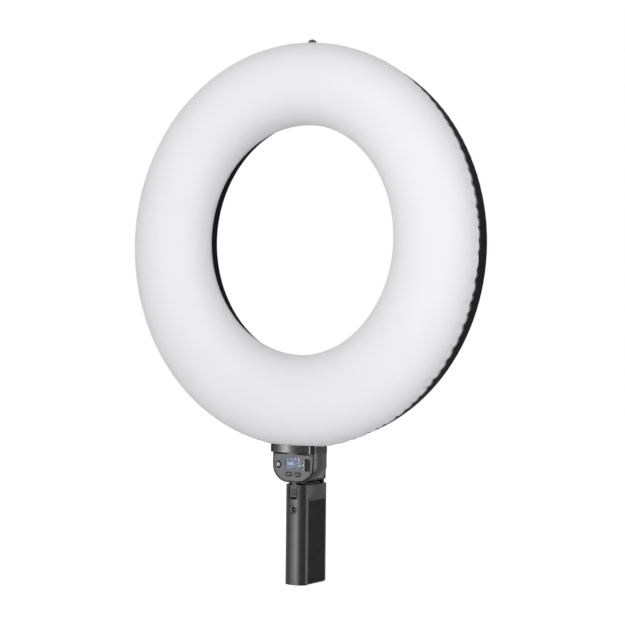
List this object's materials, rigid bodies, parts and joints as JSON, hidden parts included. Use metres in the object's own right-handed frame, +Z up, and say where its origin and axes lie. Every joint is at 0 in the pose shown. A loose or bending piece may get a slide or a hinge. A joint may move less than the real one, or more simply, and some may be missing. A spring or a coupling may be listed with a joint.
{
  "type": "led ring light",
  "caption": "Hand-held ring light: puffed fabric cover over a round shell, control housing with buttons and display, and a detachable battery grip.",
  "frame": {"origin": "mouth of the thread in the base of the grip", "axes": "+Z up along the grip to the top of the ring, -Y the lit front, +X the viewer's right when facing the front"},
  "size_m": [0.465, 0.0858, 0.6303],
  "materials": {
    "grip_black": "satin moulded ABS",
    "housing_black": "satin moulded ABS",
    "shell_black": "fine spark-eroded ABS",
    "gloss_black": "polished moulded ABS",
    "jack_black": "moulded nylon",
    "latch_black": "moulded acetal",
    "switch_black": "moulded",
    "wheel_black": "ribbed soft-touch",
    "panel_grey": "satin grey paint",
    "button_grey": "satin",
    "pad_rubber": "fine-grained moulded rubber",
    "gasket_rubber": "matt",
    "wire_black": "matt sleeve",
    "cover_fabric": "white stretch-knit polyester",
    "hem_elastic": "white gathered elastic",
    "opal_plastic": "opal acrylic",
    "window_glass": "smoked acrylic",
    "display_glow": "display glass",
    "circuit_board": "solder-masked laminate",
    "lamp_board": "white solder-masked laminate",
    "led_warm": "warm phosphor",
    "led_cool": "cool phosphor",
    "driver_sleeve": "shrink sleeve",
    "cell_sleeve": "shrink sleeve",
    "nylon": "natural nylon",
    "screw_steel": "zinc plated",
    "plated_steel": "nickel plated",
    "brass": "turned",
    "chrome": "polished"
  },
  "bodies": {
    "grip": {"grip_front_cover": "grip_black", "grip_body": "grip_black", "grip_pad_left": "pad_rubber", "grip_pad_right": "pad_rubber", "base_cap": "grip_black", "thread_insert": "brass", "base_screws": "screw_steel", "lower_cradle": "nylon", "upper_cradle": "nylon", "battery_cells": "cell_sleeve", "cell_contacts": "plated_steel", "dc_jack": "jack_black", "jack_centre_pin": "plated_steel", "charge_board": "circuit_board", "latch_spring": "screw_steel", "contact_block": "jack_black", "contact_pins": "brass", "dock_gasket": "gasket_rubber", "dock_tongue": "plated_steel"},
    "latch": {"latch_slider": "latch_black"},
    "head": {"dock_socket": "jack_black", "control_housing": "housing_black", "control_panel": "panel_grey", "power_bezel": "gloss_black", "oval_rims": "gloss_black", "display_window": "window_glass", "display_module": "display_glow", "control_board": "circuit_board", "tact_switches": "switch_black", "wheel_encoder": "switch_black", "wheel_axle": "screw_steel", "receiver_block": "housing_black", "receiver_screws": "screw_steel", "collar": "gloss_black", "collar_screws": "screw_steel", "loom_plug": "nylon", "wire_loom": "wire_black", "loom_socket": "nylon", "rear_shell": "shell_black", "led_board": "lamp_board", "board_screws": "screw_steel", "warm_leds": "led_warm", "cool_leds": "led_cool", "driver_parts": "driver_sleeve", "fabric_diffuser": "cover_fabric", "diffuser_dome": "opal_plastic", "outer_hem": "hem_elastic", "inner_hem": "hem_elastic", "accessory_stud": "chrome", "stud_nut": "plated_steel", "stud_washer": "chrome", "cap_nut": "chrome"},
    "power_key": {"power_button": "button_grey"},
    "left_key": {"left_button": "button_grey"},
    "right_key": {"right_button": "button_grey"},
    "dial": {"thumbwheel": "wheel_black"}
  },
  "joints": [
    {"name": "head_lift", "type": "slide", "parent": "grip", "child": "head", "axis": [0, 0, 1], "range_m": [0, 0.035]},
    {"name": "latch_slide", "type": "slide", "parent": "grip", "child": "latch", "axis": [0, 0, -1], "range_m": [0, 0.002], "stiffness_N_per_m": 400, "springref_m": -0.002, "deforming": ["latch_spring"]},
    {"name": "power_press", "type": "slide", "parent": "head", "child": "power_key", "axis": [0, 1, 0], "range_m": [0, 0.0008], "stiffness_N_per_m": 600, "springref_m": -0.001},
    {"name": "left_press", "type": "slide", "parent": "head", "child": "left_key", "axis": [0, 1, 0], "range_m": [0, 0.0008], "stiffness_N_per_m": 600, "springref_m": -0.001},
    {"name": "right_press", "type": "slide", "parent": "head", "child": "right_key", "axis": [0, 1, 0], "range_m": [0, 0.0008], "stiffness_N_per_m": 600, "springref_m": -0.001},
    {"name": "wheel_turn", "type": "hinge", "parent": "head", "child": "dial", "pos_m": [0.02055, -0.01795, 0.1386], "axis": [1, 0, 0], "continuous": true}
  ]
}
